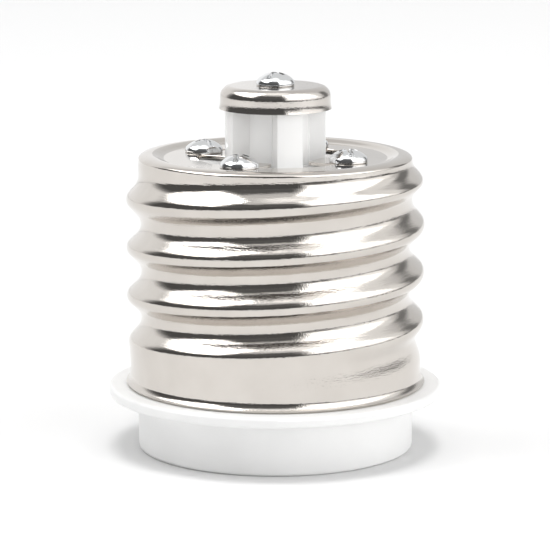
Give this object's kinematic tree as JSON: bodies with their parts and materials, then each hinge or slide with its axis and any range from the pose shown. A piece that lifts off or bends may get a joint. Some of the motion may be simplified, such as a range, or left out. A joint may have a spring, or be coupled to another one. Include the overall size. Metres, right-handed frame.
{
  "type": "lamp socket adapter",
  "caption": "Lamp socket adapter with a large nickel screw cap and centre contact above a white moulded flange, and a medium screw socket with a sprung contact inside.",
  "frame": {"origin": "centre of the drum's lower face, at the mouth of the medium socket", "axes": "+Z along the common axis of both screw shells, from the socket's mouth up to the large cap's centre contact"},
  "size_m": [0.0438, 0.0438, 0.0495],
  "materials": {
    "white_moulding": "satin white moulding",
    "nickel_shell": "polished nickel plate on rolled brass",
    "nickel_cap": "nickel plate, slightly grained",
    "zinc_screws": "bright zinc plate",
    "spring_bronze": "bare spring bronze"
  },
  "bodies": {
    "adapter": {"insulating_body": "white_moulding", "outer_shell": "nickel_shell", "contact_cap": "nickel_cap", "centre_screw": "zinc_screws", "shell_screws": "zinc_screws", "inner_shell": "nickel_shell", "contact_leaf": "spring_bronze", "centre_nut": "zinc_screws"},
    "contact": {"contact_stud": "spring_bronze"}
  },
  "joints": [
    {"name": "contact_press", "type": "slide", "parent": "adapter", "child": "contact", "axis": [0, 0, 1], "range_m": [0, 0.002], "stiffness_N_per_m": 4000, "deforming": ["contact_leaf"]}
  ]
}
